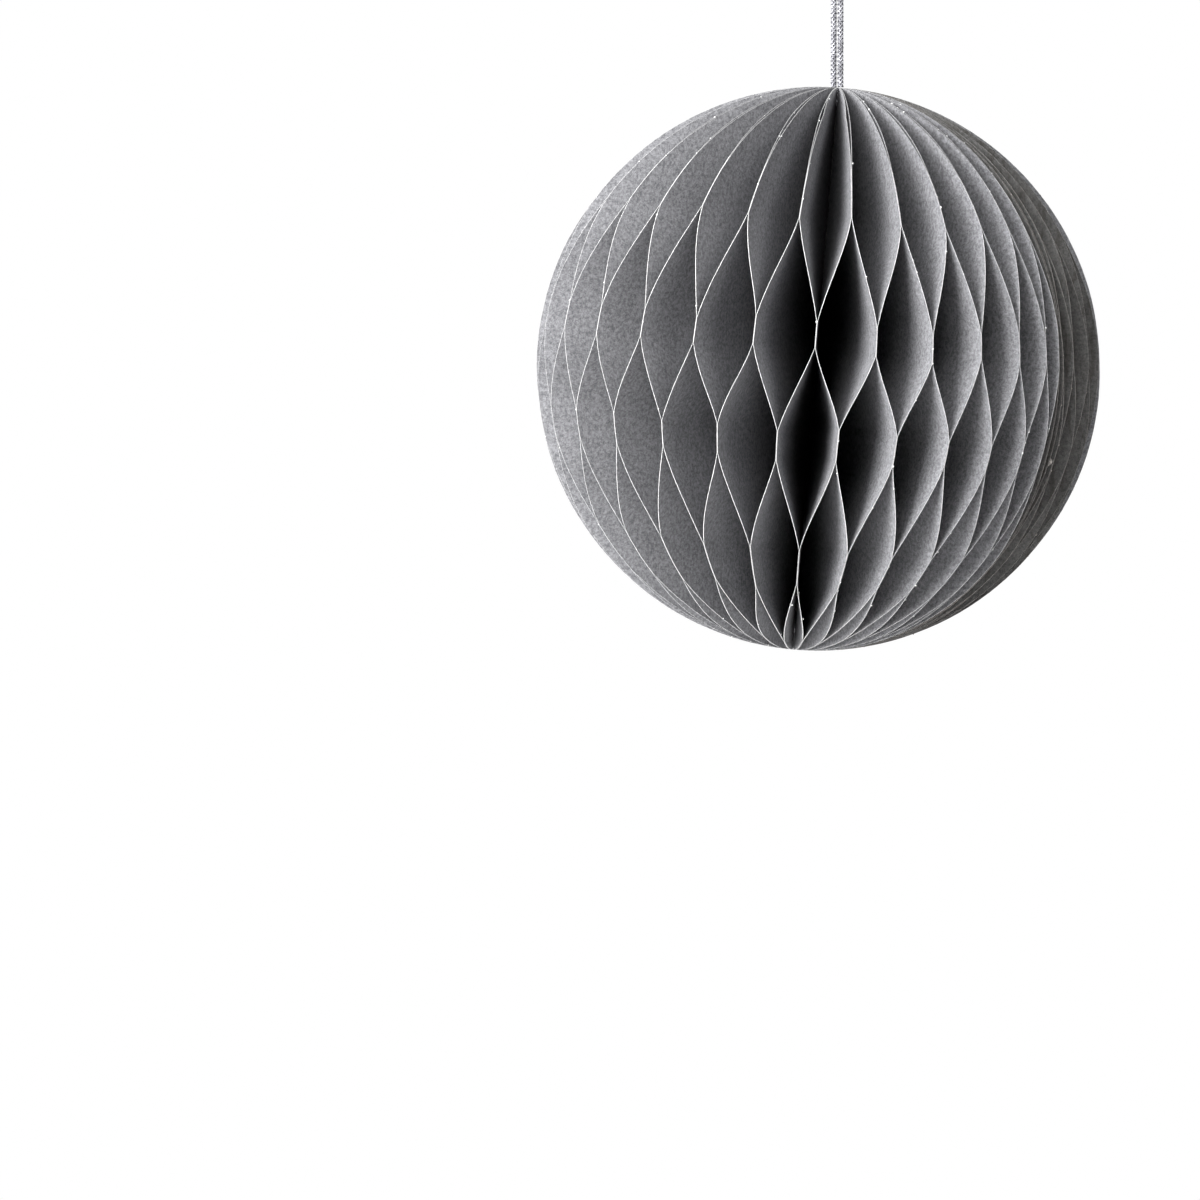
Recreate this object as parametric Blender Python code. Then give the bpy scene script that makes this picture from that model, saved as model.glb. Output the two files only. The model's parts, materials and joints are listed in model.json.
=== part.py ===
"""Paper honeycomb ball hanging on a doubled metallic cord.

The ball is a stack of half-disc paper leaves glued to each other in rows, curled round its straight
edge until the two outer cover leaves meet. Leaves that are glued face to face inside a pair are one
body here. The origin is the inside top of the cord's eye, +Z is up, and the front of the ball is -Y.
"""

from math import asin, cos, exp, pi, radians, sin, sqrt

import bmesh
import bpy
from mathutils import Matrix, Vector

# Driving dimensions, metres and degrees.
BALL_R = 0.075              # radius of the opened ball
PAIRS = 31                  # glued pairs of wavy leaves round the ball
PAPER = 0.00020             # thickness of a leaf
GLUE = 0.00008              # thickness of a glue line, and the clearance between pairs
CLOSING_ANGLE = -33.5       # where the covers meet, counted round the spine from +X
CROWDING = 0.58             # how much narrower the cell next to the covers is
CROWDING_REACH = 2.0        # how many cells that narrowing reaches
LEAN = 4.5                  # lean of the ball's axis, its top towards +X

CORD_D = 0.0017             # diameter of one strand
STRAND_PITCH = 0.0018       # distance between the two strands' centres
CORD_DROP = 0.042           # from the inside top of the eye to the ball's top pole
EYE_R = 0.0033              # centreline radius of the eye at the cord's top
EYE_PINCH = 0.0082          # below the eye's centre, where the strands have closed up again
CORD_OFFSET = 0.0010        # the cord leaves the top pole this far towards -X of the spine's middle
TAIL_OFFSET = 0.0003        # and inside the rolled spine it runs this far from the middle
TAIL_BEND = 0.0050          # height over which it moves across
END_GAP = 0.0003            # between the cord's loop and the tops of its tails
ROUTE_STEP = 0.0015         # length of a straight piece of the loop
TAIL_STEPS = 36             # straight pieces of a tail

MAGNET_SIZE = (0.0080, 0.0005, 0.0170)      # radial depth, thickness, height
MAGNET_INSET = 0.0018       # from the cover's rim at the equator to the magnet
MAGNET_CORNER = 0.0006      # radius of the magnets' corners
MAGNET_HEIGHT = -0.0032     # the magnets' middle above the ball's centre
MAGNET_CLEARANCE = 0.0003   # between the two magnets, and between a magnet and its cover

SPINE_WALL = 0.00035        # wall of the rolled binding strip
SPINE_GAP = 0.0003          # from the strip to the leaves' inner edges
SPINE_STEPS = 14            # facets round the rolled strip
SPINE_TOP = 0.0700          # the strip's ends, above and below the ball's centre
SPINE_BOTTOM = -0.0660
SPINE_SLIT = 24.0           # opening of the rolled strip, degrees
KNOT_R = 0.0024             # knot under the strip's lower end
KNOT_SHAPE = (1.0, 0.9, 0.85)
KNOT_GAP = 0.0006           # between the knot and the strip

# One slot is a leaf and its glue line, so the leaves' inner edges stand round this radius.
SLOT = PAPER + GLUE
LEAVES = 2 * PAIRS
CORE_R = (LEAVES + 2) * SLOT / (2 * pi)
# At the rim the magnets hold the covers this far from the closing plane.
COVER_RIM_OFFSET = MAGNET_CLEARANCE / 2 + MAGNET_SIZE[1] + MAGNET_CLEARANCE + PAPER / 2

# Swing of a leaf's rim between its two seams, top to bottom: height in ball radii, then 0 on the seam
# it shares with the next pair and 1 on the seam inside its own pair. Equal neighbours are a glue band.
RIM_SWING = (
    (0.9988, 0.97),
    (0.90, 0.89),
    (0.715, 1.0),
    (0.548, 1.0),
    (0.189, 0.0),
    (0.091, 0.0),
    (-0.182, 1.0),
    (-0.284, 1.0),
    (-0.607, 0.0),
    (-0.741, 0.0),
    (-0.948, 1.0),
    (-0.985, 1.0),
    (-0.9988, 1.0),
)
BAND_OF_PAIR = ((0.715, 0.548), (-0.182, -0.284), (-0.948, -0.985))
STEP_ANGLE = radians(12.5)  # coarsest step along the rim


def clear_scene():
    for old in list(bpy.data.objects):
        bpy.data.objects.remove(old, do_unlink=True)


def make_material(name, colour, roughness, metallic=0.0):
    material = bpy.data.materials.new(name)
    material.use_nodes = True
    shader = material.node_tree.nodes["Principled BSDF"]
    shader.inputs["Base Color"].default_value = (*colour, 1.0)
    shader.inputs["Roughness"].default_value = roughness
    shader.inputs["Metallic"].default_value = metallic
    return material


def add_object(name, bm, material, parent=None):
    """Turn a bmesh into a named object with outward faces."""
    bmesh.ops.recalc_face_normals(bm, faces=bm.faces)
    mesh = bpy.data.meshes.new(name)
    bm.to_mesh(mesh)
    bm.free()
    mesh.materials.append(material)
    item = bpy.data.objects.new(name, mesh)
    bpy.context.collection.objects.link(item)
    item.parent = parent
    return item


def add_empty(name, matrix, parent=None):
    empty = bpy.data.objects.new(name, None)
    empty.empty_display_size = 0.01
    bpy.context.collection.objects.link(empty)
    empty.parent = parent
    empty.matrix_local = matrix
    return empty


def pair_borders():
    """Angles of the seams between pairs, degrees from the closing seam, narrower near the covers."""
    widths = []
    for pair in range(PAIRS):
        nearest = min(pair, PAIRS - 1 - pair)
        widths.append(1.0 - CROWDING * exp(-nearest / CROWDING_REACH))
    borders = [0.0]
    for width in widths:
        borders.append(borders[-1] + width * 360.0 / sum(widths))
    borders[-1] = 360.0
    return borders


def rim_radius(height):
    return sqrt(max(BALL_R ** 2 - height ** 2, 0.0))


def rim_levels():
    """(height, swing) from the top of a leaf to its bottom, with no step coarser than STEP_ANGLE."""
    levels = []
    for (high, swing_high), (low, swing_low) in zip(RIM_SWING, RIM_SWING[1:]):
        start, end = asin(high), asin(low)
        steps = max(1, round((start - end) / STEP_ANGLE))
        for step in range(steps):
            share = step / steps
            angle = start + (end - start) * share
            levels.append((sin(angle) * BALL_R, swing_high + (swing_low - swing_high) * share))
    last_height, last_swing = RIM_SWING[-1]
    levels.append((last_height * BALL_R, last_swing))
    return levels


def equator_point(turn, offset):
    """Where a leaf meets the equator near a seam, turn degrees from the closing seam, moved by offset.

    The covers and their magnets take room on both sides of the closing seam."""
    if turn == 0.0:
        offset += COVER_RIM_OFFSET + SLOT / 2
    if turn == 360.0:
        offset -= COVER_RIM_OFFSET + SLOT / 2
    angle = radians(CLOSING_ANGLE + turn) + offset / BALL_R
    return Vector((cos(angle), sin(angle), 0.0)) * BALL_R


def inner_point(slot):
    """Inner edge of a leaf: the slots stand evenly round the core, from cover to cover."""
    angle = radians(CLOSING_ANGLE + (slot + 0.5) * 360.0 / (LEAVES + 2))
    return Vector((cos(angle), sin(angle), 0.0)) * CORE_R


def add_leaf(bm, slot, own, shared, levels):
    """A thin leaf whose rim swings between two equator points, straight from the core to the rim."""
    grid = bmesh.ops.create_grid(bm, x_segments=1, y_segments=len(levels) - 1, size=1.0)
    rows = {}
    for vertex in grid["verts"]:
        rows.setdefault(round(vertex.co.y, 4), []).append(vertex)
    inner = inner_point(slot)
    for (height, swing), key in zip(levels, sorted(rows, reverse=True)):
        share = (rim_radius(height) - CORE_R) / (BALL_R - CORE_R)
        outer = own.lerp(shared, swing).normalized() * BALL_R
        near, far = sorted(rows[key], key=lambda vertex: vertex.co.x)
        near.co = inner + Vector((0.0, 0.0, height))
        far.co = inner.lerp(outer, share) + Vector((0.0, 0.0, height))
    faces = {face for vertex in grid["verts"] for face in vertex.link_faces}
    skewed = [face for face in faces if not any(spans(face, band) for band in BAND_OF_PAIR)]
    bmesh.ops.triangulate(bm, faces=skewed, quad_method="FIXED")
    faces = {face for vertex in grid["verts"] for face in vertex.link_faces}
    grown = bmesh.ops.extrude_face_region(bm, geom=list(faces))
    new_verts = [item for item in grown["geom"] if isinstance(item, bmesh.types.BMVert)]
    across = Vector((0.0, 0.0, 1.0)).cross((own + shared).normalized())
    bmesh.ops.translate(bm, verts=grid["verts"], vec=across * -PAPER / 2)
    bmesh.ops.translate(bm, verts=new_verts, vec=across * PAPER / 2)


def spans(face, band):
    """True for a face that reaches from the top of a glue band to its bottom."""
    heights = [vertex.co.z / BALL_R for vertex in face.verts]
    return abs(max(heights) - band[0]) < 1e-4 and abs(min(heights) - band[1]) < 1e-4


def join_bands(bm, middle_angle):
    """Bridge the facing band strips of a pair's two leaves, as the glue does."""
    outward = Vector((cos(middle_angle), sin(middle_angle), 0.0))
    across = Vector((0.0, 0.0, 1.0)).cross(outward)
    bm.normal_update()
    for band in BAND_OF_PAIR:
        strips = [face for face in bm.faces if spans(face, band) and abs(face.normal.dot(across)) > 0.7]
        strips.sort(key=lambda face: face.calc_center_median().dot(across))
        facing = strips[1:3]
        edges = [edge for face in facing for edge in face.edges]
        bmesh.ops.delete(bm, geom=facing, context="FACES_ONLY")
        bmesh.ops.bridge_loops(bm, edges=edges)


def add_pair(number, borders, material, parent):
    """Two wavy leaves and the glue between them, as one body."""
    bm = bmesh.new()
    low, high = borders[number], borders[number + 1]
    middle = (low + high) / 2
    levels = rim_levels()
    add_leaf(bm, 2 * number + 1, equator_point(low, SLOT / 2), equator_point(middle, -SLOT / 2), levels)
    add_leaf(bm, 2 * number + 2, equator_point(high, -SLOT / 2), equator_point(middle, SLOT / 2), levels)
    join_bands(bm, radians(CLOSING_ANGLE + middle))
    return add_object(f"leaf_pair_{number + 1:02d}", bm, material, parent)


def add_cover(name, slot, turn, material, parent):
    """A flat cover leaf beside the closing seam, one slot outside the last wavy leaf."""
    bm = bmesh.new()
    rim = equator_point(turn, -SLOT / 2 if turn == 0.0 else SLOT / 2)
    add_leaf(bm, slot, rim, rim, [(height, 0.0) for height, _ in rim_levels()])
    return add_object(name, bm, material, parent)


def add_magnet(name, side, material, parent):
    """A flat bar magnet on the face of a cover, near the rim."""
    bm = bmesh.new()
    depth, thickness, height = MAGNET_SIZE
    bmesh.ops.create_cube(bm, size=1.0)
    bmesh.ops.scale(bm, vec=MAGNET_SIZE, verts=bm.verts)
    edges = [edge for edge in bm.edges if abs(edge.verts[0].co.y - edge.verts[1].co.y) > thickness / 2]
    bmesh.ops.bevel(bm, geom=edges, offset=MAGNET_CORNER, segments=2, profile=0.5, affect="EDGES")
    out = BALL_R - MAGNET_INSET - depth / 2
    centre = Vector((out, side * (MAGNET_CLEARANCE + thickness) / 2, MAGNET_HEIGHT))
    bmesh.ops.translate(bm, verts=bm.verts, vec=centre)
    bmesh.ops.rotate(bm, verts=bm.verts, matrix=Matrix.Rotation(radians(CLOSING_ANGLE), 3, "Z"))
    return add_object(name, bm, material, parent)


def add_spine(material, parent):
    """The binding strip behind the leaves, rolled into an open tube round the cord."""
    bm = bmesh.new()
    outer = CORE_R - SPINE_GAP
    inner = outer - SPINE_WALL
    corners = ((inner, SPINE_BOTTOM), (outer, SPINE_BOTTOM), (outer, SPINE_TOP), (inner, SPINE_TOP))
    start = radians(CLOSING_ANGLE + SPINE_SLIT / 2)
    profile = [bm.verts.new((r * cos(start), r * sin(start), z)) for r, z in corners]
    face = bm.faces.new(profile)
    bmesh.ops.spin(bm, geom=[face] + list(face.edges) + profile, cent=(0, 0, 0), axis=(0, 0, 1),
                   angle=radians(360.0 - SPINE_SLIT), steps=SPINE_STEPS)
    return add_object("spine_binding", bm, material, parent)


def smooth_route(points, spacing):
    """Points read every spacing from a Catmull-Rom curve through the route's own points."""
    route = [Vector(point) for point in points]
    padded = [route[0] * 2 - route[1]] + route + [route[-1] * 2 - route[-2]]
    curve = []
    for p0, p1, p2, p3 in zip(padded, padded[1:], padded[2:], padded[3:]):
        steps = max(1, round((p2 - p1).length / spacing))
        for step in range(steps):
            t = step / steps
            curve.append(0.5 * (2 * p1 + (p2 - p0) * t + (2 * p0 - 5 * p1 + 4 * p2 - p3) * t * t
                                + (3 * p1 - p0 - 3 * p2 + p3) * t ** 3))
    return curve + [route[-1]]


def add_cord(name, points, spacing, material, parent=None):
    """A round cord along a route, as a curve with filled caps."""
    route = smooth_route(points, spacing)
    curve = bpy.data.curves.new(name, "CURVE")
    curve.dimensions = "3D"
    curve.bevel_depth = CORD_D / 2
    curve.bevel_resolution = 2
    curve.use_fill_caps = True
    spline = curve.splines.new("POLY")
    spline.points.add(len(route) - 1)
    for point, place in zip(spline.points, route):
        point.co = (*place, 1.0)
    curve.materials.append(material)
    cord = bpy.data.objects.new(name, curve)
    bpy.context.collection.objects.link(cord)
    cord.parent = parent
    return cord


def cord_route():
    """The doubled cord: up one strand, round the eye, and down the other, in the XZ plane."""
    side = STRAND_PITCH / 2
    eye = CORD_D / 2 - EYE_R
    right = [
        (side, -CORD_DROP + 0.0002),
        (side, -CORD_DROP + 0.007),
        (side, -CORD_DROP + 0.014),
        (side, -CORD_DROP + 0.021),
        (side + 0.00005, -CORD_DROP + 0.026),
        (side + 0.0005, eye - EYE_PINCH),
        (side + 0.0015, eye - 0.0045),
        (EYE_R, eye),
        (EYE_R * 0.72, eye + EYE_R * 0.70),
    ]
    left = [(-x, z) for x, z in reversed(right)]
    return [(x, 0.0, z) for x, z in right + [(0.0, eye + EYE_R)] + left]


def add_tail(name, side, material, parent):
    """One strand's tail inside the rolled strip, from the top pole down to the knot."""
    top = BALL_R - END_GAP
    piece = (top - SPINE_BOTTOM) / TAIL_STEPS
    points = []
    for step in range(TAIL_STEPS + 1):
        bend = min(1.0, step * piece / TAIL_BEND)
        offset = CORD_OFFSET + (TAIL_OFFSET - CORD_OFFSET) * bend
        points.append((side * STRAND_PITCH / 2 - offset, 0.0, top - step * piece))
    return add_cord(name, points, piece, material, parent)


def add_knot(material, parent):
    """The knot that keeps the cord from pulling up through the strip."""
    bm = bmesh.new()
    bmesh.ops.create_uvsphere(bm, u_segments=12, v_segments=7, radius=KNOT_R)
    bmesh.ops.scale(bm, vec=KNOT_SHAPE, verts=bm.verts)
    bmesh.ops.translate(bm, verts=bm.verts, vec=(0.0, 0.0, SPINE_BOTTOM - KNOT_R - KNOT_GAP))
    return add_object("cord_knot", bm, material, parent)


def build():
    clear_scene()
    paper = make_material("leaf_paper", (0.085, 0.086, 0.092), 0.9)
    card = make_material("cover_card", (0.075, 0.074, 0.075), 0.85)
    magnet = make_material("magnet_coating", (0.02, 0.02, 0.022), 0.5)
    binding = make_material("binding_strip", (0.10, 0.10, 0.105), 0.9)
    lurex = make_material("metallic_cord", (0.62, 0.62, 0.64), 0.4, 0.6)

    lean = Matrix.Rotation(radians(LEAN), 4, "Y")
    centre = Vector((CORD_OFFSET, 0.0, -CORD_DROP)) - lean.to_3x3() @ Vector((0.0, 0.0, BALL_R))
    pole = add_empty("spin_axis", Matrix.Translation((0.0, 0.0, -CORD_DROP)))
    spine = add_empty("fold_axis", Matrix.Translation(centre - Vector((0.0, 0.0, -CORD_DROP))) @ lean, pole)

    borders = pair_borders()
    add_cord("cord_loop", cord_route(), ROUTE_STEP, lurex)
    add_tail("cord_tail_right", +1, lurex, spine)
    add_tail("cord_tail_left", -1, lurex, spine)
    add_knot(lurex, spine)
    add_spine(binding, spine)

    add_cover("cover_first", 0, borders[0], card, spine)
    add_cover("cover_last", LEAVES + 1, borders[-1], card, spine)
    add_magnet("magnet_first", +1, magnet, spine)
    add_magnet("magnet_last", -1, magnet, spine)

    for number in range(PAIRS):
        add_pair(number, borders, paper, spine)


build()
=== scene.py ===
"""A paper honeycomb ball on a doubled metallic cord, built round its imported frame."""

import json
from math import asin, cos, exp, pi, radians, sin, sqrt
from random import Random

import bmesh
import bpy
from mathutils import Matrix, Vector, noise


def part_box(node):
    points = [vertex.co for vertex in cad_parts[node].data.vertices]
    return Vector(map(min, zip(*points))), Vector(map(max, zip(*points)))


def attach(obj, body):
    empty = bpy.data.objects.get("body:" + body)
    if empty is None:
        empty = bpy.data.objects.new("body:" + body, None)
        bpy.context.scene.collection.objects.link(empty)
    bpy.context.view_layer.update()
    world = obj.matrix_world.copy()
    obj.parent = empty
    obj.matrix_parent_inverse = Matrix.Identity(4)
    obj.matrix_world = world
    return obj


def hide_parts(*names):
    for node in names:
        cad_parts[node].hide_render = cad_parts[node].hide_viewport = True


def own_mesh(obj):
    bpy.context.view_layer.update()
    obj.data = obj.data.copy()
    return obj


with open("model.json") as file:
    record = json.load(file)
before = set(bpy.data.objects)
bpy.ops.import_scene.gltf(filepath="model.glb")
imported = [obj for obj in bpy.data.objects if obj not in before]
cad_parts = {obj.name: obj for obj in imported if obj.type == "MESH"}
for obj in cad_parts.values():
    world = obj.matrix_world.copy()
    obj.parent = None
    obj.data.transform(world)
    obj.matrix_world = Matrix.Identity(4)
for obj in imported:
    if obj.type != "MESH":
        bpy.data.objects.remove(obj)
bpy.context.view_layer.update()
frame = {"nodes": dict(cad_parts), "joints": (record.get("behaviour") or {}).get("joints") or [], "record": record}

# ---------------------------------------------------------------------------------------------
# The view: a long lens that looks a little down on the ball, which hangs in the upper right of a
# white frame. The ball's centre and the line of its rolled spine are those of the fold joint.
# ---------------------------------------------------------------------------------------------
MM = 0.001
BALL_R = 75 * MM
LENS_MM = 270.5
VIEW_PITCH = 3.5            # how far the camera looks down, degrees
BALL_IN_VIEW = Vector((58.1, 61.5, -2400.0)) * MM       # right, up and back, in the camera's own axes

fold_joint = next(joint for joint in frame["joints"] if joint["name"] == "fold")
ball_centre = Vector(fold_joint["pos_m"])
spine_axis = Vector(fold_joint["axis"])
spine_tilt = Vector((0.0, 0.0, 1.0)).rotation_difference(spine_axis).to_matrix().to_4x4()
ball_frame = Matrix.Translation(ball_centre) @ spine_tilt

camera_data = bpy.data.cameras.new("view")
camera_data.lens = LENS_MM
camera_data.sensor_width = 36.0
camera_data.clip_end = 20.0
camera = bpy.data.objects.new("view", camera_data)
camera.rotation_euler = (radians(90 - VIEW_PITCH), 0.0, 0.0)
camera.location = ball_centre - camera.rotation_euler.to_matrix() @ BALL_IN_VIEW
bpy.context.scene.collection.objects.link(camera)
bpy.context.scene.camera = camera
bpy.context.scene.view_settings.view_transform = "Standard"


def add_piece(name, bm, materials, body):
    """A finished piece from a bmesh: outward faces, smooth but for its cut edges, riding on a body."""
    bmesh.ops.recalc_face_normals(bm, faces=bm.faces)
    mesh = bpy.data.meshes.new(name)
    bm.to_mesh(mesh)
    bm.free()
    for material in materials:
        mesh.materials.append(material)
    mesh.shade_smooth()
    mesh.set_sharp_from_angle(angle=radians(50))
    piece = bpy.data.objects.new(name, mesh)
    bpy.context.scene.collection.objects.link(piece)
    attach(piece, body)
    return piece


def new_material(name):
    """A material with its node tree, shader and an Object coordinate output."""
    material = bpy.data.materials.new(name)
    material.use_nodes = True
    tree = material.node_tree
    shader = tree.nodes["Principled BSDF"]
    place = tree.nodes.new("ShaderNodeTexCoord")
    return material, tree, shader, place.outputs["Object"]


def add_node(tree, kind, **values):
    """A shader node with its settings, and its unlinked inputs by name or number."""
    node = tree.nodes.new(kind)
    for key, value in values.items():
        if hasattr(node, key):
            setattr(node, key, value)
        else:
            node.inputs[key.replace("_", " ")].default_value = value
    return node


# ---------------------------------------------------------------------------------------------
# The hanging cord: a doubled length of silver metallic braid, taut, with an eye at the top.
# Each strand is eight narrow carriers of metallised film braided round a grey yarn core.
# ---------------------------------------------------------------------------------------------
STRAND_D = 1.7 * MM
STRAND_PITCH = 1.8 * MM
CORD_DROP = 42 * MM
EYE_R = 3.3 * MM
CARRIERS = 4                # in each direction round the strand
CARRIER_D = 0.40 * MM
BRAID_TURN = 4.6 * MM       # length of one turn of a carrier


def smooth_route(points, spacing):
    """Points read every spacing from a Catmull-Rom curve through the route's own points."""
    route = [Vector(point) for point in points]
    padded = [route[0] * 2 - route[1]] + route + [route[-1] * 2 - route[-2]]
    curve = []
    for p0, p1, p2, p3 in zip(padded, padded[1:], padded[2:], padded[3:]):
        steps = max(1, round((p2 - p1).length / spacing))
        for step in range(steps):
            t = step / steps
            curve.append(0.5 * (2 * p1 + (p2 - p0) * t + (2 * p0 - 5 * p1 + 4 * p2 - p3) * t * t
                                + (3 * p1 - p0 - 3 * p2 + p3) * t ** 3))
    return curve + [route[-1]]


def route_frames(route):
    """(point, length so far, side, up) along a route, with the side carried on without twist."""
    frames = []
    side = Vector((0.0, 1.0, 0.0))
    travelled = 0.0
    for number, point in enumerate(route):
        ahead = route[min(number + 1, len(route) - 1)]
        behind = route[max(number - 1, 0)]
        along = (ahead - behind).normalized()
        side = (side - along * side.dot(along)).normalized()
        if number:
            travelled += (point - route[number - 1]).length
        frames.append((point, travelled, side, along.cross(side)))
    return frames


def add_spline(curve, points):
    spline = curve.splines.new("POLY")
    spline.points.add(len(points) - 1)
    for target, point in zip(spline.points, points):
        target.co = (*point, 1.0)


def braid_mesh(name, route, diameter):
    """A braided strand: a core, and carriers that pass over and under each other round it."""
    carriers = bpy.data.curves.new(name, "CURVE")
    carriers.dimensions = "3D"
    carriers.bevel_depth = CARRIER_D / 2
    carriers.bevel_resolution = 1
    carriers.use_fill_caps = True
    core = carriers.copy()
    core.bevel_depth = diameter / 2 - CARRIER_D * 0.8
    frames = route_frames(route)
    add_spline(core, route)
    lay = diameter / 2 - CARRIER_D * 0.62
    for way in (1, -1):
        for carrier in range(CARRIERS):
            points = []
            for point, travelled, side, up in frames:
                turn = way * 2 * pi * (travelled / BRAID_TURN + carrier / CARRIERS)
                over = way * cos(2 * CARRIERS * pi * travelled / BRAID_TURN) * CARRIER_D * 0.22
                points.append(point + (side * cos(turn) + up * sin(turn)) * (lay + over))
            add_spline(carriers, points)
    bm = bmesh.new()
    for number, curve in enumerate((carriers, core)):
        holder = bpy.data.objects.new(name, curve)
        bpy.context.scene.collection.objects.link(holder)
        solved = holder.evaluated_get(bpy.context.evaluated_depsgraph_get())
        mesh = bpy.data.meshes.new_from_object(solved)
        for polygon in mesh.polygons:
            polygon.material_index = number
        bm.from_mesh(mesh)
        bpy.data.objects.remove(holder)
        bpy.data.meshes.remove(mesh)
    return bm


def cord_route():
    """Up one strand, round the eye and down the other, in the plane of the front view."""
    side = STRAND_PITCH / 2
    eye = STRAND_D / 2 - EYE_R
    right = [
        (side, -CORD_DROP + 0.0002),
        (side, -CORD_DROP + 0.007),
        (side, -CORD_DROP + 0.014),
        (side, -CORD_DROP + 0.021),
        (side + 0.00005, -CORD_DROP + 0.026),
        (side + 0.0005, eye - 0.0082),
        (side + 0.0015, eye - 0.0045),
        (EYE_R, eye),
        (EYE_R * 0.72, eye + EYE_R * 0.70),
    ]
    left = [(-x, z) for x, z in reversed(right)]
    return [(x, 0.0, z) for x, z in right + [(0.0, eye + EYE_R)] + left]


def metallic_film():
    """Silver film with painted glint and shade in its colour: bright and dark cells and fine specks, and a soft
    metallic gloss.
    """
    material, tree, shader, place = new_material("metallic_film")
    # Painted glint and shade: the bright and dark cells and specks in the base colour stand in for light caught by
    # the braid's film.
    painted_glint_cells = add_node(tree, "ShaderNodeTexVoronoi", Scale=1900.0)
    tree.links.new(place, painted_glint_cells.inputs["Vector"])
    painted_glint_specks = add_node(tree, "ShaderNodeTexNoise", Scale=4200.0, Detail=2.0)
    tree.links.new(place, painted_glint_specks.inputs["Vector"])
    shade = add_node(tree, "ShaderNodeMath", operation="MULTIPLY_ADD")
    shade.inputs[1].default_value = 0.9
    tree.links.new(painted_glint_cells.outputs["Color"], shade.inputs[0])
    tree.links.new(painted_glint_specks.outputs["Fac"], shade.inputs[2])
    ramp = tree.nodes.new("ShaderNodeValToRGB")
    ramp.color_ramp.elements[0].position = 0.62
    ramp.color_ramp.elements[0].color = (0.15, 0.15, 0.17, 1.0)
    ramp.color_ramp.elements[1].position = 0.88
    ramp.color_ramp.elements[1].color = (0.36, 0.36, 0.385, 1.0)
    tree.links.new(shade.outputs[0], ramp.inputs["Fac"])
    tree.links.new(ramp.outputs["Color"], shader.inputs["Base Color"])
    shader.inputs["Metallic"].default_value = 0.55
    shader.inputs["Roughness"].default_value = 0.38
    return material


def shaded_cord_core():
    """Grey yarn inside the braid, coloured dark as painted shade where it shows in the gaps between the carriers.
    """
    material, tree, shader, place = new_material("shaded_cord_core")
    fibres = add_node(tree, "ShaderNodeTexNoise", Scale=2600.0, Detail=3.0)
    tree.links.new(place, fibres.inputs["Vector"])
    ramp = tree.nodes.new("ShaderNodeValToRGB")
    # Near-black to dark grey: painted shade for the gaps between the carriers.
    ramp.color_ramp.elements[0].color = (0.05, 0.05, 0.06, 1.0)
    ramp.color_ramp.elements[1].color = (0.20, 0.20, 0.22, 1.0)
    tree.links.new(fibres.outputs["Fac"], ramp.inputs["Fac"])
    tree.links.new(ramp.outputs["Color"], shader.inputs["Base Color"])
    shader.inputs["Roughness"].default_value = 0.8
    return material


cord_finishes = (metallic_film(), shaded_cord_core())
cord_path = smooth_route(cord_route(), 0.30 * MM)
hanging_cord = add_piece("hanging_cord", braid_mesh("hanging_cord", cord_path, STRAND_D),
                         cord_finishes, "cord")
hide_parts("cord_loop")

# ---------------------------------------------------------------------------------------------
# The cord's tails run down inside the rolled spine, and an overhand knot under it takes the load.
# ---------------------------------------------------------------------------------------------
KNOT_REACH = 0.72 * MM      # radius of the knot's path about its ring
KNOT_RING = 1.05 * MM
KNOT_HEIGHT = 0.85 * MM     # how far its path rises and dips
CORD_OFFSET = 1.0 * MM      # the cord leaves the top pole this far towards -X of the spine's middle
TAIL_OFFSET = 0.3 * MM      # and inside the rolled spine it runs this far from the middle
TAIL_BEND = 5.0 * MM


def tail_path(node, side):
    """A tail down the rolled spine: it moves across just below the pole, then runs straight."""
    low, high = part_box(node)
    top = (ball_frame.inverted() @ Vector((0.0, 0.0, high.z))).z
    bottom = (ball_frame.inverted() @ Vector((0.0, 0.0, low.z))).z
    steps = 200
    path = []
    for step in range(steps + 1):
        down = (top - bottom) * step / steps
        offset = CORD_OFFSET + (TAIL_OFFSET - CORD_OFFSET) * min(1.0, down / TAIL_BEND)
        path.append(ball_frame @ Vector((side * STRAND_PITCH / 2 - offset, 0.0, top - down)))
    return path


for node, side in (("cord_tail_right", 1), ("cord_tail_left", -1)):
    tail = add_piece(node + "_braid", braid_mesh(node, tail_path(node, side), STRAND_D), cord_finishes,
                     "core")
    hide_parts(node)

knot_low, knot_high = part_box("cord_knot")
knot_centre = (knot_low + knot_high) / 2
knot_path = []
for step in range(97):
    turn = 2 * pi * step / 96
    ring = KNOT_RING + KNOT_REACH * cos(3 * turn)
    around = Vector((ring * cos(2 * turn), ring * sin(2 * turn), KNOT_HEIGHT * sin(3 * turn)))
    knot_path.append(knot_centre + around)
knot = add_piece("overhand_knot", braid_mesh("overhand_knot", knot_path, STRAND_D * 0.8), cord_finishes,
                 "core")
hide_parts("cord_knot")

# ---------------------------------------------------------------------------------------------
# The binding strip: bookbinder's gauze glued over the leaves' straight edges. It rolls into an
# open tube round the cord when the ball is fanned out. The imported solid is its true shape.
# ---------------------------------------------------------------------------------------------


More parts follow.
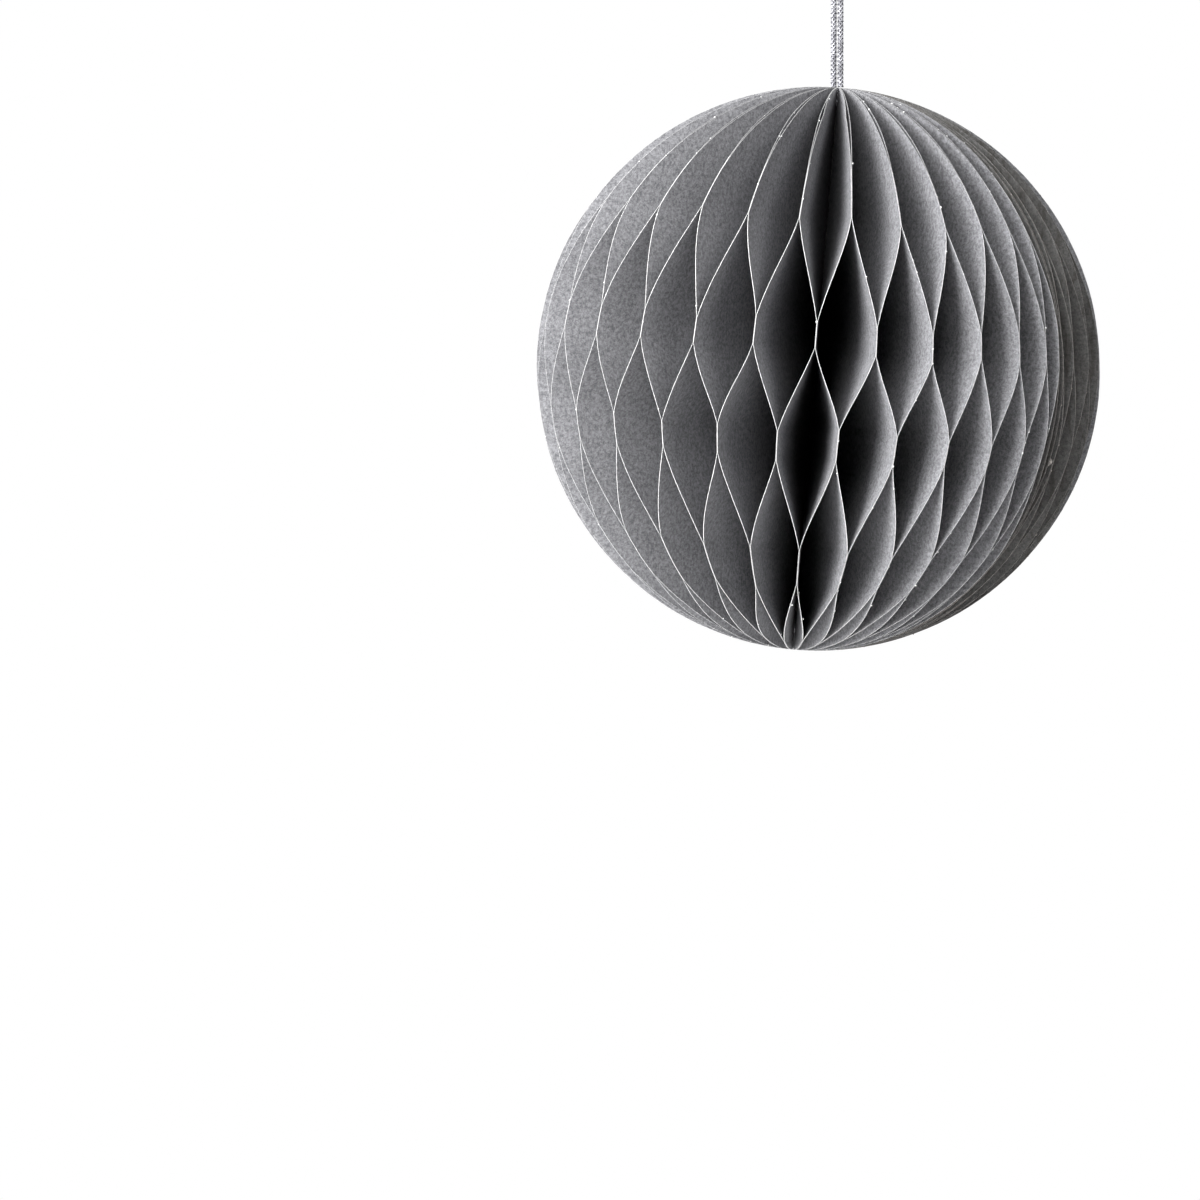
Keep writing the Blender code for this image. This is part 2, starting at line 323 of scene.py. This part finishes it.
def binding_gauze():
    """Open cotton weave stiffened with glue, slightly yellowed."""
    material, tree, shader, place = new_material("binding_gauze")
    warp = add_node(tree, "ShaderNodeTexWave", bands_direction="Z", Scale=420.0, Distortion=1.5)
    weft = add_node(tree, "ShaderNodeTexWave", bands_direction="DIAGONAL", Scale=420.0, Distortion=1.5)
    for wave in (warp, weft):
        tree.links.new(place, wave.inputs["Vector"])
    weave = add_node(tree, "ShaderNodeMath", operation="MAXIMUM")
    tree.links.new(warp.outputs["Fac"], weave.inputs[0])
    tree.links.new(weft.outputs["Fac"], weave.inputs[1])
    ramp = tree.nodes.new("ShaderNodeValToRGB")
    ramp.color_ramp.elements[0].color = (0.07, 0.068, 0.064, 1.0)
    ramp.color_ramp.elements[1].color = (0.21, 0.205, 0.19, 1.0)
    tree.links.new(weave.outputs[0], ramp.inputs["Fac"])
    tree.links.new(ramp.outputs["Color"], shader.inputs["Base Color"])
    bump = add_node(tree, "ShaderNodeBump", Strength=0.6, Distance=0.1 * MM)
    tree.links.new(weave.outputs[0], bump.inputs["Height"])
    tree.links.new(bump.outputs["Normal"], shader.inputs["Normal"])
    shader.inputs["Roughness"].default_value = 0.92
    return material


binding = frame["nodes"]["spine_binding"]
binding.data.materials.clear()
binding.data.materials.append(binding_gauze())

# ---------------------------------------------------------------------------------------------
# The paper: dyed dark grey through its surface but white inside, so that the die-cut rim is a
# white line with loose fibres. Both come from one pulp pattern.
# ---------------------------------------------------------------------------------------------


def pulp_group():
    """Paper fibre as a shader group: clumps of pulp, fine tooth, and stray pale fibres."""
    group = bpy.data.node_groups.new("paper_pulp", "ShaderNodeTree")
    for name, kind, value in (("Place", "NodeSocketVector", None), ("Clumps", "NodeSocketFloat", 0.5),
                              ("Tooth", "NodeSocketFloat", 0.5)):
        socket = group.interface.new_socket(name, in_out="INPUT", socket_type=kind)
        if value is not None:
            socket.default_value = value
    for name in ("Shade", "Height", "Fibres"):
        group.interface.new_socket(name, in_out="OUTPUT", socket_type="NodeSocketFloat")
    start = group.nodes.new("NodeGroupInput")
    end = group.nodes.new("NodeGroupOutput")
    clumps = add_node(group, "ShaderNodeTexNoise", Scale=1100.0, Detail=2.0, Roughness=0.6)
    tooth = add_node(group, "ShaderNodeTexNoise", Scale=2800.0, Detail=2.0, Roughness=0.7)
    fibres = add_node(group, "ShaderNodeTexVoronoi", feature="DISTANCE_TO_EDGE", Scale=1100.0)
    for pattern in (clumps, tooth, fibres):
        group.links.new(start.outputs["Place"], pattern.inputs["Vector"])
    clump_part = add_node(group, "ShaderNodeMath", operation="MULTIPLY")
    group.links.new(clumps.outputs["Fac"], clump_part.inputs[0])
    group.links.new(start.outputs["Clumps"], clump_part.inputs[1])
    both = add_node(group, "ShaderNodeMath", operation="MULTIPLY_ADD")
    group.links.new(tooth.outputs["Fac"], both.inputs[0])
    group.links.new(start.outputs["Tooth"], both.inputs[1])
    group.links.new(clump_part.outputs[0], both.inputs[2])
    thin = add_node(group, "ShaderNodeMapRange")
    thin.inputs["From Max"].default_value = 0.05
    thin.inputs["To Min"].default_value = 1.0
    thin.inputs["To Max"].default_value = 0.0
    group.links.new(fibres.outputs["Distance"], thin.inputs["Value"])
    group.links.new(both.outputs[0], end.inputs["Shade"])
    group.links.new(both.outputs[0], end.inputs["Height"])
    group.links.new(thin.outputs["Result"], end.inputs["Fibres"])
    return group


pulp = pulp_group()


def add_pulp(tree, place, clumps, tooth):
    node = tree.nodes.new("ShaderNodeGroup")
    node.node_tree = pulp
    node.inputs["Clumps"].default_value = clumps
    node.inputs["Tooth"].default_value = tooth
    tree.links.new(place, node.inputs["Place"])
    return node


def paper(name, dark, light, white_reach, smears=0.0):
    """Dyed paper; the white of the cut creeps white_reach metres over the face, unevenly.

    Smears, from 0 to 1, are the upright streaks that glue and handling leave.
    """
    material, tree, shader, place = new_material(name)
    grain = add_pulp(tree, place, 0.5, 0.5)
    ramp = tree.nodes.new("ShaderNodeValToRGB")
    ramp.color_ramp.elements[0].position = 0.38
    ramp.color_ramp.elements[0].color = (*dark, 1.0)
    ramp.color_ramp.elements[1].position = 0.62
    ramp.color_ramp.elements[1].color = (*light, 1.0)
    tree.links.new(grain.outputs["Shade"], ramp.inputs["Fac"])
    dyed = ramp.outputs["Color"]
    if smears:
        upright = add_node(tree, "ShaderNodeMapping")
        upright.inputs["Scale"].default_value = (1.0, 1.0, 0.16)
        tree.links.new(place, upright.inputs["Vector"])
        streaks = add_node(tree, "ShaderNodeTexNoise", Scale=420.0, Detail=3.0, Roughness=0.6)
        tree.links.new(upright.outputs["Vector"], streaks.inputs["Vector"])
        stained = add_node(tree, "ShaderNodeMapRange")
        stained.inputs["From Min"].default_value = 0.50
        stained.inputs["From Max"].default_value = 0.62
        stained.inputs["To Max"].default_value = smears
        tree.links.new(streaks.outputs["Fac"], stained.inputs["Value"])
        smear = add_node(tree, "ShaderNodeMix", data_type="RGBA")
        tree.links.new(stained.outputs["Result"], smear.inputs["Factor"])
        tree.links.new(dyed, smear.inputs["A"])
        smear.inputs["B"].default_value = (0.055, 0.048, 0.042, 1.0)
        dyed = smear.outputs["Result"]
    rim = add_node(tree, "ShaderNodeAttribute", attribute_name="rim_distance")
    ragged = add_node(tree, "ShaderNodeMath", operation="MULTIPLY_ADD")
    ragged.inputs[1].default_value = -2.2 * white_reach
    tree.links.new(grain.outputs["Shade"], ragged.inputs[0])
    tree.links.new(rim.outputs["Fac"], ragged.inputs[2])
    worn = add_node(tree, "ShaderNodeMapRange")
    worn.inputs["From Min"].default_value = -1.1 * white_reach
    worn.inputs["From Max"].default_value = 0.0
    worn.inputs["To Min"].default_value = 1.0
    worn.inputs["To Max"].default_value = 0.0
    tree.links.new(ragged.outputs[0], worn.inputs["Value"])
    mix = add_node(tree, "ShaderNodeMix", data_type="RGBA")
    tree.links.new(worn.outputs["Result"], mix.inputs["Factor"])
    tree.links.new(dyed, mix.inputs["A"])
    mix.inputs["B"].default_value = (0.55, 0.55, 0.55, 1.0)
    tree.links.new(mix.outputs["Result"], shader.inputs["Base Color"])
    bump = add_node(tree, "ShaderNodeBump", Strength=0.7, Distance=0.06 * MM)
    tree.links.new(grain.outputs["Height"], bump.inputs["Height"])
    tree.links.new(bump.outputs["Normal"], shader.inputs["Normal"])
    shader.inputs["Roughness"].default_value = 0.88
    shader.inputs["Specular IOR Level"].default_value = 0.25
    return material


def cut_edge(name, dragged, bare):
    """The white heart of the paper along the die cut, with grey dye dragged over it here and there.

    The white_showing value on the mesh says how much of the white still shows, from 0 to 1.
    """
    material, tree, shader, place = new_material(name)
    grain = add_pulp(tree, place, 0.6, 0.4)
    ramp = tree.nodes.new("ShaderNodeValToRGB")
    ramp.color_ramp.elements[0].position = 0.30
    ramp.color_ramp.elements[0].color = (*dragged, 1.0)
    ramp.color_ramp.elements[1].position = 0.50
    ramp.color_ramp.elements[1].color = (*bare, 1.0)
    tree.links.new(grain.outputs["Shade"], ramp.inputs["Fac"])
    clean = add_node(tree, "ShaderNodeAttribute", attribute_name="white_showing")
    dimmed_white = add_node(tree, "ShaderNodeMix", data_type="RGBA")
    dimmed_white.inputs["A"].default_value = (*(0.35 * value for value in dragged), 1.0)
    tree.links.new(clean.outputs["Fac"], dimmed_white.inputs["Factor"])
    tree.links.new(ramp.outputs["Color"], dimmed_white.inputs["B"])
    tree.links.new(dimmed_white.outputs["Result"], shader.inputs["Base Color"])
    bump = add_node(tree, "ShaderNodeBump", Strength=0.4, Distance=0.05 * MM)
    tree.links.new(grain.outputs["Height"], bump.inputs["Height"])
    tree.links.new(bump.outputs["Normal"], shader.inputs["Normal"])
    shader.inputs["Roughness"].default_value = 0.9
    shader.inputs["Specular IOR Level"].default_value = 0.2
    return material


leaf_paper = paper("leaf_paper", (0.118, 0.118, 0.126), (0.292, 0.292, 0.304), 0.02 * MM)
# Cover card, stained paper and stained edge are darker than the leaf stock and its white edge, as painted shade
# beside the closing seam. The upright smears on the card and paper are real stains.
cover_card = paper("cover_card", (0.080, 0.078, 0.076), (0.150, 0.146, 0.142), 0.02 * MM, smears=0.4)
shaded_stained_paper = paper("shaded_stained_paper", (0.085, 0.084, 0.082), (0.165, 0.162, 0.158), 0.02 * MM, smears=0.5)
white_edge = cut_edge("white_cut_edge", (0.40, 0.40, 0.41), (0.80, 0.80, 0.79))
shaded_stained_edge = cut_edge("shaded_stained_cut_edge", (0.12, 0.105, 0.095), (0.30, 0.27, 0.25))

# ---------------------------------------------------------------------------------------------
# The wavy leaves: 62 half-discs, glued to their neighbours in staggered bands, which pull each
# leaf from one seam to the next and back. Hand gluing leaves every band a little off its place.
# ---------------------------------------------------------------------------------------------
CORE_SLOT = 0.28 * MM       # leaf and glue at the spine
LEAF_AT_CORE = 0.080 * MM   # half the leaf's thickness at the spine, and at the rim, pinched by the die
LEAF_AT_RIM = 0.055 * MM
RIM_SLOT = 0.12 * MM        # spacing of two bonded leaves at the rim
LEVEL_STEP = radians(2.4)   # spacing of the leaf's rows along the rim
RULING = (0.0, 0.22, 0.44, 0.62, 0.76, 0.87, 0.95, 0.985, 1.0)   # columns from spine to rim

couplings = frame["record"]["behaviour"]["couplings"]
middles = [coupling["ratio"] * 360.0 for coupling in couplings]
borders = [0.0]
for middle in middles:
    borders.append(2 * middle - borders[-1])
PAIRS = len(middles)
CORE_R = (2 * PAIRS + 2) * CORE_SLOT / (2 * pi)
CLOSING_ANGLE = -33.5

# Glue rows from the top: height in ball radii, and whether they lie inside a pair.
GLUE_ROWS = (
    (0.715, 0.548, True),
    (0.189, 0.091, False),
    (-0.182, -0.284, True),
    (-0.607, -0.741, False),
    (-0.948, -0.9988, True),
)
LEAF_TOP = 0.9988
SLIT_HEIGHT = 0.90          # where a pair gapes a little between its top band and the pole
SLIT_SWING = 0.89
EDGE_DIM_HEIGHT = 0.725 * BALL_R    # above this height the cut edges are coloured darker
CLOSED_GAP = 0.30 * MM      # half the gap between the covers where they are pressed together
MAGNET_BOW = 0.75 * MM      # and how much further each is held off by the magnets
MAGNET_REACH = 12 * MM      # full bow this far above and below the magnets' middle
BOW_FADE = 9 * MM
SHADED_STAINED_PAIRS = 3           # the first pairs, next to the closing seam, carry stains from glue and fingers, and are coloured darker as painted shade


def rim_radius(height):
    return sqrt(max(BALL_R ** 2 - height ** 2, 0.0))


def glue_bands(seed, inside):
    """One seam's glue bands, (top, bottom) in radii, each a little off its place."""
    draw = Random(seed)
    bands = []
    for top, bottom, inside_pair in GLUE_ROWS:
        if inside_pair == inside:
            slip = draw.uniform(-0.011, 0.011)
            stretch = draw.uniform(-0.007, 0.007)
            low = bottom if bottom < -0.99 else bottom + slip - stretch
            bands.append((top + slip + stretch, low))
    return bands


def leaf_knots(own_bands, shared_bands, draw):
    """(height in radii, swing) from the top of a leaf to its bottom: 0 on its own seam, 1 on the shared."""
    knots = [(LEAF_TOP, 0.97), (SLIT_HEIGHT, SLIT_SWING + draw.uniform(-0.03, 0.03))]
    for top, bottom in shared_bands:
        knots += [(top, 1.0), (bottom, 1.0)]
    for top, bottom in own_bands:
        knots += [(top, 0.0), (bottom, 0.0)]
    return sorted(knots, reverse=True)


def leaf_levels(knots, straightness):
    """(height, swing, freedom) of every row of a leaf; freedom is 0 in the glue and 1 midway between."""
    levels = []
    for (high, swing_high), (low, swing_low) in zip(knots, knots[1:]):
        start, end = asin(high), asin(low)
        steps = max(1, round((start - end) / LEVEL_STEP))
        for step in range(steps):
            t = step / steps
            angle = start + (end - start) * t
            eased = t * t * (3 - 2 * t)
            share = t * straightness + eased * (1 - straightness)
            free = 0.0 if swing_high == swing_low else 4 * t * (1 - t)
            levels.append((sin(angle) * BALL_R, swing_high + (swing_low - swing_high) * share, free))
    levels.append((knots[-1][0] * BALL_R, knots[-1][1], 0.0))
    return levels


def white_showing(height, free):
    """How much white shows: less where glue has crept over the cut, least at the top of the ball."""
    # At the top of the ball the cut edges are simply coloured darker.
    if height > EDGE_DIM_HEIGHT:
        return 0.32
    return 0.58 + 0.42 * min(1.0, 3 * free)


def turned(angle, radius):
    return Vector((cos(angle), sin(angle), 0.0)) * radius


def closing_gap(height):
    """Half the gap between the covers at the rim: pressed together, but for the magnets at mid-height."""
    reach = abs(height - magnet_height)
    bow = 1.0 if reach < MAGNET_REACH else exp(-((reach - MAGNET_REACH) / BOW_FADE) ** 2)
    return CLOSED_GAP + MAGNET_BOW * bow


def seam_at(turn, height, offset):
    """Where a leaf's rim line meets the ball's radius beside a seam, turn degrees from the closing one."""
    if turn == 0.0:
        offset += closing_gap(height) + RIM_SLOT / 2
    elif turn == 360.0:
        offset -= closing_gap(height) + RIM_SLOT / 2
    return turned(radians(CLOSING_ANGLE + turn) + offset / BALL_R, BALL_R)


def shape_leaf(bm, slot, levels, rim_line, draw):
    """A thin leaf from a grid: rulings run straight from the spine to the rim line, then it is thickened."""
    columns = len(RULING) - 1
    thickness = bm.verts.layers.float.new("thickness")
    rim_distance = bm.verts.layers.float.new("rim_distance")
    cut = bm.verts.layers.float.new("white_showing")
    grid = bmesh.ops.create_grid(bm, x_segments=columns, y_segments=len(levels) - 1, size=1.0)
    inner = turned(radians(CLOSING_ANGLE + (slot + 0.5) * 360.0 / (2 * PAIRS + 2)), CORE_R)
    middle = rim_line(0.0, 0.5).normalized()
    across = Vector((0.0, 0.0, 1.0)).cross(middle)
    seed = Vector((draw.uniform(0, 50), draw.uniform(0, 50), draw.uniform(0, 50)))
    bulge = draw.uniform(-0.35, 0.35) * MM
    for vertex in grid["verts"]:
        share = RULING[round((vertex.co.x + 1) / 2 * columns)]
        height, swing, free = levels[round((1 - vertex.co.y) / 2 * (len(levels) - 1))]
        rim = rim_radius(height) + 0.06 * MM * noise.noise(seed + Vector((0.0, 0.0, height * 900)))
        reach = max(rim - CORE_R, 0.2 * MM)
        line = inner.lerp(rim_line(height, swing), reach / (BALL_R - CORE_R) * share)
        ripple = noise.noise(seed + Vector((share * 2.2, 0.0, height * 45)))
        wander = free * share * (0.28 * MM * ripple + bulge * sin(pi * share))
        vertex.co = line + across * wander + Vector((0.0, 0.0, height))
        vertex[thickness] = LEAF_AT_CORE + (LEAF_AT_RIM - LEAF_AT_CORE) * share * reach / BALL_R
        vertex[rim_distance] = reach * (1 - share)
        vertex[cut] = white_showing(height, free)
    faces = list({face for vertex in grid["verts"] for face in vertex.link_faces})
    grown = bmesh.ops.extrude_face_region(bm, geom=faces)
    far_side = [item for item in grown["geom"] if isinstance(item, bmesh.types.BMVert)]
    for vertex in grid["verts"]:
        vertex.co -= across * vertex[thickness]
    for vertex in far_side:
        vertex.co += across * vertex[thickness]
    for face in bm.faces:
        if all(vertex[rim_distance] < 0.001 * MM for vertex in face.verts):
            face.material_index = 1
    return across


def add_fibres(bm, levels, rim_line, across, draw, count):
    """Small burrs of torn fibre standing on the cut edge."""
    rim_distance = bm.verts.layers.float["rim_distance"]
    cut = bm.verts.layers.float["white_showing"]
    for _ in range(count):
        height, swing, _ = levels[draw.randrange(6, len(levels) - 3)]
        size = draw.uniform(0.08, 0.20) * MM
        burr = bmesh.ops.create_icosphere(bm, subdivisions=1, radius=size)
        bmesh.ops.scale(bm, vec=(draw.uniform(0.8, 1.6), 1.0, draw.uniform(0.7, 1.8)), verts=burr["verts"])
        spin = Matrix.Rotation(draw.uniform(0, pi), 3, "Y")
        bmesh.ops.rotate(bm, matrix=spin, verts=burr["verts"])
        edge = rim_line(height, swing).normalized() * (rim_radius(height) + 0.3 * size)
        side = across * draw.choice((-1, 1)) * (LEAF_AT_RIM + 0.2 * size)
        bmesh.ops.translate(bm, vec=edge + side + Vector((0.0, 0.0, height)), verts=burr["verts"])
        for vertex in burr["verts"]:
            vertex[rim_distance] = 0.0
            vertex[cut] = 1.0
            vertex.co += Vector((draw.uniform(-1, 1), draw.uniform(-1, 1), draw.uniform(-1, 1))) * size * 0.3
        for face in {face for vertex in burr["verts"] for face in vertex.link_faces}:
            face.material_index = 1


def add_leaf(name, slot, own, shared, own_bands, shared_bands, side, body):
    """A wavy leaf between its own seam and the one it shares inside its pair."""
    draw = Random(1000 + slot)
    levels = leaf_levels(leaf_knots(own_bands, shared_bands, draw), draw.uniform(0.62, 0.82))

    def rim_line(height, swing):
        near = seam_at(own, height, side * RIM_SLOT / 2)
        far = seam_at(shared, height, -side * RIM_SLOT / 2)
        return near.lerp(far, swing).normalized() * BALL_R

    bm = bmesh.new()
    across = shape_leaf(bm, slot, levels, rim_line, draw)
    add_fibres(bm, levels, rim_line, across, draw, draw.randint(3, 7))
    bmesh.ops.transform(bm, matrix=ball_frame, verts=bm.verts)
    # The first pairs take the darker finishes: glue stains plus painted shade.
    finish = (shaded_stained_paper, shaded_stained_edge) if slot <= 2 * SHADED_STAINED_PAIRS else (leaf_paper, white_edge)
    leaf = add_piece(name, bm, finish, body)
    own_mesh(leaf)
    return leaf


magnet_low, magnet_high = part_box("magnet_first")
magnet_height = (ball_frame.inverted() @ ((magnet_low + magnet_high) / 2)).z

borders[-1] = 360.0
border_bands = [glue_bands(100 + number, False) for number in range(PAIRS + 1)]
middle_bands = [glue_bands(200 + number, True) for number in range(PAIRS)]
for number in range(PAIRS):
    label = f"{number + 1:02d}"
    body, joint = f"pair_{label}", f"fold_{label}"
    first = add_leaf(f"leaf_{2 * number + 1:02d}", 2 * number + 1, borders[number], middles[number],
                     border_bands[number], middle_bands[number], +1, body)
    second = add_leaf(f"leaf_{2 * number + 2:02d}", 2 * number + 2, borders[number + 1], middles[number],
                      border_bands[number + 1], middle_bands[number], -1, body)
    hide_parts(f"leaf_pair_{label}")
    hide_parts(f"leaf_pair_{label}")

# ---------------------------------------------------------------------------------------------
# The two cover leaves: plain half-discs of the same dyed stock in a heavier card, first and last
# of the stack. A pair of flat magnets between them holds the ball open.
# ---------------------------------------------------------------------------------------------


def add_cover(name, slot, turn, side, body):
    draw = Random(2000 + slot)
    levels = leaf_levels([(LEAF_TOP, 0.0), (0.4, 0.0), (-0.4, 0.0), (-LEAF_TOP, 0.0)], 1.0)

    def rim_line(height, swing):
        offset = side * closing_gap(height)
        return turned(radians(CLOSING_ANGLE + turn) + offset / BALL_R, BALL_R)

    bm = bmesh.new()
    across = shape_leaf(bm, slot, levels, rim_line, draw)
    add_fibres(bm, levels, rim_line, across, draw, 4)
    bmesh.ops.transform(bm, matrix=ball_frame, verts=bm.verts)
    # The covers take the darker card and edge: stains plus painted shade.
    cover = add_piece(name + "_leaf", bm, (cover_card, shaded_stained_edge), body)
    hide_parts(name)
    return cover


add_cover("cover_first", 0, 0.0, +1, "core")
add_cover("cover_last", 2 * PAIRS + 1, 360.0, -1, "last_cover")

FLECK_HEIGHT = -0.245 * BALL_R
FLECK_R = 0.9 * MM


def glue_fleck():
    """A crumb of dried glue and torn paper on the rim of the first cover."""
    bm = bmesh.new()
    bmesh.ops.create_icosphere(bm, subdivisions=3, radius=FLECK_R)
    for vertex in bm.verts:
        lump = noise.noise(vertex.co * 1400 + Vector((3.0, 1.0, 7.0)))
        vertex.co *= 1.0 + 0.45 * lump
        vertex.co.z += 0.5 * abs(vertex.co.x)
    bmesh.ops.scale(bm, vec=(1.0, 0.30, 1.0), verts=bm.verts)
    facing = radians(CLOSING_ANGLE)
    bmesh.ops.rotate(bm, matrix=Matrix.Rotation(facing, 3, "Z"), verts=bm.verts)
    aside = closing_gap(FLECK_HEIGHT) + 0.4 * MM
    rim = turned(facing + aside / BALL_R, rim_radius(FLECK_HEIGHT) - 0.2 * MM)
    bmesh.ops.translate(bm, vec=rim + Vector((0.0, 0.0, FLECK_HEIGHT)), verts=bm.verts)
    bmesh.ops.transform(bm, matrix=ball_frame, verts=bm.verts)
    return bm


def dried_glue():
    """Dried white glue, dirty beige, a little glossy."""
    material, tree, shader, place = new_material("dried_glue")
    dirt = add_node(tree, "ShaderNodeTexNoise", Scale=1500.0, Detail=3.0)
    tree.links.new(place, dirt.inputs["Vector"])
    ramp = tree.nodes.new("ShaderNodeValToRGB")
    ramp.color_ramp.elements[0].position = 0.35
    ramp.color_ramp.elements[0].color = (0.07, 0.065, 0.06, 1.0)
    ramp.color_ramp.elements[1].position = 0.65
    ramp.color_ramp.elements[1].color = (0.22, 0.20, 0.185, 1.0)
    tree.links.new(dirt.outputs["Fac"], ramp.inputs["Fac"])
    tree.links.new(ramp.outputs["Color"], shader.inputs["Base Color"])
    shader.inputs["Roughness"].default_value = 0.45
    return material


add_piece("glue_fleck", glue_fleck(), (dried_glue(),), "core")


def magnet_coating():
    """Black epoxy coat, satin, scuffed to nickel where the magnets snap together."""
    material, tree, shader, place = new_material("magnet_coating")
    scuffs = add_node(tree, "ShaderNodeTexNoise", Scale=900.0, Detail=4.0, Roughness=0.7)
    tree.links.new(place, scuffs.inputs["Vector"])
    ramp = tree.nodes.new("ShaderNodeValToRGB")
    ramp.color_ramp.elements[0].position = 0.58
    ramp.color_ramp.elements[0].color = (0.018, 0.018, 0.020, 1.0)
    ramp.color_ramp.elements[1].position = 0.72
    ramp.color_ramp.elements[1].color = (0.16, 0.16, 0.16, 1.0)
    tree.links.new(scuffs.outputs["Fac"], ramp.inputs["Fac"])
    tree.links.new(ramp.outputs["Color"], shader.inputs["Base Color"])
    shader.inputs["Roughness"].default_value = 0.42
    return material


coating = magnet_coating()
for node in ("magnet_first", "magnet_last"):
    magnet = frame["nodes"][node]
    magnet.data.materials.clear()
    magnet.data.materials.append(coating)

# ---------------------------------------------------------------------------------------------
# The studio: a white surround, a broad soft key from the front left, and two weaker panels high on
# the left and right. Three more panels light the side turned away. The floor is pale card.
# ---------------------------------------------------------------------------------------------
FLOOR_DROP = 0.9            # from the ball's centre down to the floor
FLOOR_R = 1.6
LIGHT_DISTANCE = 1.8

floor_bm = bmesh.new()
bmesh.ops.create_circle(floor_bm, cap_ends=True, segments=96, radius=FLOOR_R)
bmesh.ops.translate(floor_bm, verts=floor_bm.verts, vec=ball_centre - Vector((0.0, 0.0, FLOOR_DROP)))
floor_mesh = bpy.data.meshes.new("floor")
floor_bm.to_mesh(floor_mesh)
floor_bm.free()
floor = bpy.data.objects.new("floor", floor_mesh)
bpy.context.scene.collection.objects.link(floor)
floor_finish, floor_tree, floor_shader, floor_place = new_material("floor_paper")
floor_shader.inputs["Base Color"].default_value = (0.85, 0.85, 0.85, 1.0)
floor_shader.inputs["Roughness"].default_value = 0.9
floor_mesh.materials.append(floor_finish)


def add_light(name, azimuth, height, size, power):
    """A soft panel aimed at the ball, azimuth degrees right of the front and height degrees up."""
    light = bpy.data.lights.new(name, "AREA")
    light.shape = "SQUARE"
    light.size = size
    light.energy = power
    panel = bpy.data.objects.new(name, light)
    turn, rise = radians(azimuth), radians(height)
    place = Vector((sin(turn) * cos(rise), -cos(turn) * cos(rise), sin(rise)))
    panel.location = ball_centre + place * LIGHT_DISTANCE
    panel.rotation_euler = (-place).to_track_quat("-Z", "Y").to_euler()
    panel.visible_camera = False
    bpy.context.scene.collection.objects.link(panel)


add_light("key", -42, 12, 1.2, 80.0)
add_light("upper_left", -18, 42, 1.0, 20.0)
add_light("upper_right", 48, 48, 1.0, 17.0)
add_light("back", 185, 15, 1.2, 44.0)
add_light("left_back", -118, 22, 1.0, 46.0)
add_light("right_back", 132, 20, 1.0, 14.0)

world = bpy.data.worlds.new("surround")
bpy.context.scene.world = world
world.use_nodes = True
sky = world.node_tree
sky.nodes.clear()
seen = add_node(sky, "ShaderNodeBackground", Strength=1.0, Color=(1.0, 1.0, 1.0, 1.0))
lighting = add_node(sky, "ShaderNodeBackground", Strength=0.02, Color=(1.0, 1.0, 1.0, 1.0))
ray = sky.nodes.new("ShaderNodeLightPath")
choice = sky.nodes.new("ShaderNodeMixShader")
world_out = sky.nodes.new("ShaderNodeOutputWorld")
sky.links.new(ray.outputs["Is Camera Ray"], choice.inputs[0])
sky.links.new(lighting.outputs[0], choice.inputs[1])
sky.links.new(seen.outputs[0], choice.inputs[2])
sky.links.new(choice.outputs[0], world_out.inputs["Surface"])
